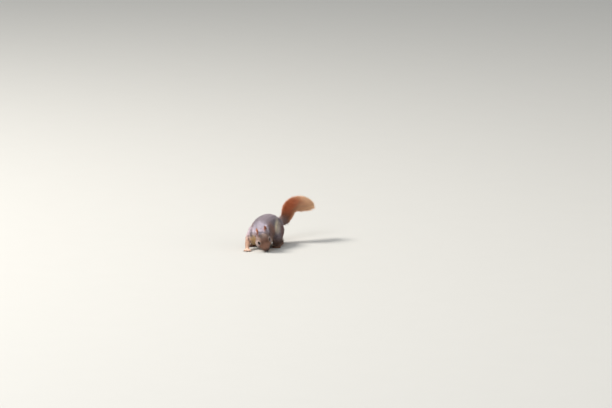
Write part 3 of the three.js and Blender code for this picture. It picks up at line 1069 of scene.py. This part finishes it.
def placed(name, data, location, way):
    """A lamp or a camera that looks along a way."""
    holder = linked(name, data)
    holder.location = location
    holder.rotation_mode = "QUATERNION"
    holder.rotation_quaternion = way.to_track_quat("-Z", "Y")
    return holder


class SQUIRREL_OT_stage(bpy.types.Operator):
    """Makes the floor, the soft studio light and the camera"""

    bl_idname = "squirrel.stage"
    bl_label = "Stage"

    def execute(self, context):
        stage = context.scene.squirrel.stage
        bm = bmesh.new()
        bmesh.ops.create_grid(bm, x_segments=4, y_segments=4, size=FLOOR_HALF)
        floor = linked("floor", mesh_of(bm, "floor"))
        floor.data.materials.append(grained_material(
            "pale_floor", 0.85, linear(206, 204, 198), scale=12.0, depth=0.02, relief=0.0002))

        world = bpy.data.worlds.new("studio")
        world.use_nodes = True
        feed(world.node_tree, world.node_tree.nodes["Background"],
             {"Color": SKY, "Strength": SKY_STRENGTH * stage.light})
        context.scene.world = world

        azimuth, elevation = stage.azimuth, stage.elevation
        back = Vector((math.sin(azimuth) * math.cos(elevation),
                       -math.cos(azimuth) * math.cos(elevation), math.sin(elevation)))
        right = Vector((math.cos(azimuth), math.sin(azimuth), 0))
        middle = (cad_low + cad_high) / 2
        above = Vector((0, 0, 1))
        for name, (place, size, power, colour) in LAMPS.items():
            lamp = bpy.data.lights.new(name, "AREA")
            lamp.size = size
            lamp.energy = power * stage.light
            lamp.color = colour
            place = place[0] * right + place[1] * above + place[2] * back
            placed(name, lamp, middle + place, -place)

        nose = box_centre("nose")
        aim = Vector((nose.x, nose.y, 0)) + right * AIM[0] + back.cross(right) * AIM[1]
        camera = bpy.data.cameras.new("camera")
        camera = placed("camera", camera, aim + back * stage.distance, -back)
        camera.data.lens = stage.lens
        camera.data.sensor_width = 36
        camera.data.clip_end = 100
        context.scene.camera = camera
        context.scene.view_settings.view_transform = "Standard"
        return {"FINISHED"}


class SQUIRREL_OT_skin(bpy.types.Operator):
    """Draws one skin over the flesh, inside it by the depth of the coat, with lids and lips"""

    bl_idname = "squirrel.skin"
    bl_label = "Skin"

    def execute(self, context):
        settings = context.scene.squirrel
        mesh = build_skin(settings.body.voxel, settings.colours)
        material = grained_material("furred_skin", 0.8, "coat_colour", scale=1400.0, depth=0.9,
                                    relief=0.0006, Specular_IOR_Level=0.2, Sheen_Weight=0.2)
        unwrap(add_piece("skin", mesh, material, FLESH))
        return {"FINISHED"}


class SQUIRREL_OT_eyes(bpy.types.Operator):
    """Sets dark, wet eyes between the lids"""

    bl_idname = "squirrel.eyes"
    bl_label = "Eyes"

    def execute(self, context):
        material, tree, shader = new_material("wet_eye", 0.06, Specular_IOR_Level=0.28)
        place = added(tree, "ShaderNodeTexCoord").outputs["Object"]
        noise = added(tree, "ShaderNodeTexNoise", {"Scale": 900, "Vector": place})
        iris = mix(tree, noise.outputs["Fac"], linear(9, 5, 4), linear(30, 15, 10))
        feed(tree, shader, {"Base Color": iris})
        edge, span, bulge = CORNEA
        for name, side in SIDES.items():
            bm = bmesh.new()
            bmesh.ops.create_icosphere(bm, subdivisions=4, radius=eye_radius(name))
            gaze = (HEAD.to_3x3() @ Vector(sided(GAZE, side))).normalized()
            for v in bm.verts:
                v.co *= 1 + bulge * (max(0.0, v.co.normalized().dot(gaze) - edge) / span)
            bmesh.ops.translate(bm, verts=bm.verts, vec=box_centre(f"eye_{name}"))
            add_piece(f"eyeball_{name}", mesh_of(bm, "eye"), material, [f"eye_{name}"])
        return {"FINISHED"}


class SQUIRREL_OT_nose(bpy.types.Operator):
    """Shapes the nose pad, with its nostrils and the groove between them"""

    bl_idname = "squirrel.nose"
    bl_label = "Nose"

    def execute(self, context):
        bm = bmesh.new()
        bmesh.ops.create_icosphere(bm, subdivisions=4, radius=1)
        long, wide, high = NOSTRIL_SIZE
        for v in bm.verts:
            v.co = [one * size for one, size in zip(v.co, NOSE_SIZE)]
            groove = math.exp(-((v.co.y / GROOVE[0]) ** 2)) * max(0, v.co.x) / NOSE_SIZE[0]
            nostril = 0.0
            for side in SIDES.values():
                away = v.co - Vector(sided(NOSTRIL, side))
                nostril += math.exp(
                    -((away.y / wide) ** 2 + (away.z / high) ** 2 + (away.x / long) ** 2))
            v.co *= 1 - GROOVE[1] * groove - NOSTRIL_DEEP * nostril
            v.co = HEAD @ ((v.co + Vector(NOSE_IN_HEAD)) * MM)
        bmesh.ops.recalc_face_normals(bm, faces=bm.faces[:])
        material = grained_material("nose_skin", 0.48, linear(18, 13, 12), scale=2600.0, depth=0.5,
                                    relief=0.0004, Coat_Weight=0.08)
        add_piece("nose_pad", mesh_of(bm, "nose"), material, ["nose"])
        return {"FINISHED"}


def set_into_toe(bm, foot):
    """Draws the rear half of a claw back into the toe that it grows from."""
    corners = np.array([v.co for v in bm.verts])
    middle = corners.mean(0)
    along = np.linalg.eigh(np.cov((corners - middle).T))[1][:, 2]
    along = along * np.sign(along @ (np.array(box_centre(foot)) - middle))
    back = Vector((along[0], along[1], 0)).normalized()
    for v, reach in zip(bm.verts, (corners - middle) @ along / MM):
        v.co += back * float(CLAW_ROOT * MM * rising(reach, 0, CLAW_HALF))


class SQUIRREL_OT_claws(bpy.types.Operator):
    """Rounds the claws of each foot into dark curved horn"""

    bl_idname = "squirrel.claws"
    bl_label = "Claws"

    def execute(self, context):
        material = grained_material("horn", 0.4, linear(62, 48, 40), scale=1800.0, depth=0.6,
                                    relief=0.0003)
        for foot, side in ((foot, side) for foot in TOES for side in SIDES):
            nodes = [f"claw_{foot}_{side}_{i + 1}" for i in range(TOES[foot])]
            whole = bmesh.new()
            for node in nodes:
                bm = merged_copy(node)
                for v in bm.verts:
                    v.co += v.normal * CLAW_SWELL * MM
                set_into_toe(bm, f"{foot}foot_{side}")
                whole.from_mesh(mesh_of(bm, "claw"))
            name = f"claws_{foot}_{side}"
            piece = add_piece(name, mesh_of(whole, "claws"), material, nodes)
            smooth = piece.modifiers.new("round", "SUBSURF")
            smooth.levels = smooth.render_levels = 2
        return {"FINISHED"}


def whisker_roots(count, longest, rng):
    """Where in the head each whisker starts, which way it goes and how long it is."""
    for side in SIDES.values():
        for i in range(count):
            step, row = divmod(i, WHISKER_ROWS)
            way = np.array([0.35 - 0.28 * step, side, 0.42 - 0.22 * row])
            root = np.array([23.5 - 1.7 * step, side * (4.6 + 0.75 * step), -2.2 - 1.25 * row])
            yield root, way + rng.normal(0, 0.06, 3), longest * (0.6 + 0.14 * step)
        for i in range(BROW_WHISKERS):
            way = np.array([-0.1, side * 0.6, 1.0])
            root = np.array([4.0 + 1.2 * i, side * 9.5, 10.2])
            yield root, way + rng.normal(0, 0.15, 3), BROW_LENGTH


class SQUIRREL_OT_whiskers(bpy.types.Operator):
    """Sets whiskers in the muzzle and over the eyes"""

    bl_idname = "squirrel.whiskers"
    bl_label = "Whiskers"

    def execute(self, context):
        body = context.scene.squirrel.body
        rng = np.random.default_rng(WHISKER_SEED)
        outward, heights, triangles = strand_shape([0.2, 0.4, 0.6, 0.8])
        t = heights[:, None]
        places, faces = [], []
        for root, way, length in whisker_roots(body.whiskers, body.whisker_length / MM, rng):
            start = out_of_head(root[None])[0]
            ahead = unit(np.array(HEAD)[:3, :3] @ way)
            if start[2] + ahead[2] * length * MM < LOWEST_TIP:
                ahead = unit(np.array([ahead[0], ahead[1], max(ahead[2], LEVEL)]))
            one = unit(np.cross(ahead, [0, 0, 1.0]))
            two = np.cross(ahead, one)
            spine = start + length * MM * (t * ahead + 0.5 * t**2 * RISE)
            ring = outward[:, :1] * one + outward[:, 1:] * two
            faces.append(triangles + len(places) * len(heights))
            places.append(spine + ring * (WHISKER_HALF * (1 - WHISKER_TAPER * t)))
        places = np.concatenate(places)
        places[:, 2] = np.maximum(places[:, 2], WHISKER_GAP)
        material = grained_material("whisker_hair", 0.45, linear(52, 40, 36), scale=900.0,
                                    depth=0.4, relief=0.0001)
        mesh = triangle_mesh("whiskers", places, np.concatenate(faces))
        add_piece("whiskers", mesh, material)
        return {"FINISHED"}


class SQUIRREL_OT_coat(bpy.types.Operator):
    """Grows the short coat over the head, body, legs and feet"""

    bl_idname = "squirrel.coat"
    bl_label = "Short coat"

    def execute(self, context):
        coat = context.scene.squirrel.coat
        material = hair_material("short_hair", root=0.6, tip=1.25, variety=0.3)
        shape = strand_shape([0.45])
        grow_coat(coat, coat.seed, SHORT_COATS, shape, material, "coat", SHORT_STYLE)
        return {"FINISHED"}


class SQUIRREL_OT_brush(bpy.types.Operator):
    """Grows the long hair of the tail"""

    bl_idname = "squirrel.brush"
    bl_label = "Brush"

    def execute(self, context):
        settings = context.scene.squirrel
        material = hair_material("brush_hair", root=0.7, tip=1.15, variety=0.35,
                                 tip_colour=settings.colours.tail_tips)
        shape = strand_shape([0.3, 0.58, 0.82])
        grow_coat(settings.coat, settings.coat.seed + 1, BRUSH, shape, material, "tail_coat",
                  LONG_STYLE, to_outline=True)
        return {"FINISHED"}


class SQUIRREL_PT_panel(bpy.types.Panel):
    """Lists the steps that build the squirrel"""

    bl_label = "Foraging squirrel"
    bl_idname = "SQUIRREL_PT_panel"
    bl_space_type = "VIEW_3D"
    bl_region_type = "UI"
    bl_category = "Squirrel"

    def draw(self, context):
        settings = context.scene.squirrel
        for group in (settings.body, settings.coat, settings.stage, settings.colours):
            box = self.layout.box()
            for key in group.bl_rna.properties.keys():
                if key not in ("rna_type", "name"):
                    box.prop(group, key)
        for step in STEPS:
            self.layout.operator(step.bl_idname)


STEPS = [
    SQUIRREL_OT_stage, SQUIRREL_OT_skin, SQUIRREL_OT_eyes, SQUIRREL_OT_nose,
    SQUIRREL_OT_claws, SQUIRREL_OT_whiskers, SQUIRREL_OT_coat, SQUIRREL_OT_brush,
]
GROUPS = [SquirrelColours, SquirrelBody, SquirrelCoat, SquirrelStage, SquirrelSettings]


def register():
    for part in [*GROUPS, *STEPS, SQUIRREL_PT_panel]:
        bpy.utils.register_class(part)
    bpy.types.Scene.squirrel = PointerProperty(type=SquirrelSettings)


def unregister():
    del bpy.types.Scene.squirrel
    for part in reversed([*GROUPS, *STEPS, SQUIRREL_PT_panel]):
        bpy.utils.unregister_class(part)


def main():
    register()
    for step in STEPS:
        family, name = step.bl_idname.split(".")
        getattr(getattr(bpy.ops, family), name)()


if __name__ == "__main__":
    main()
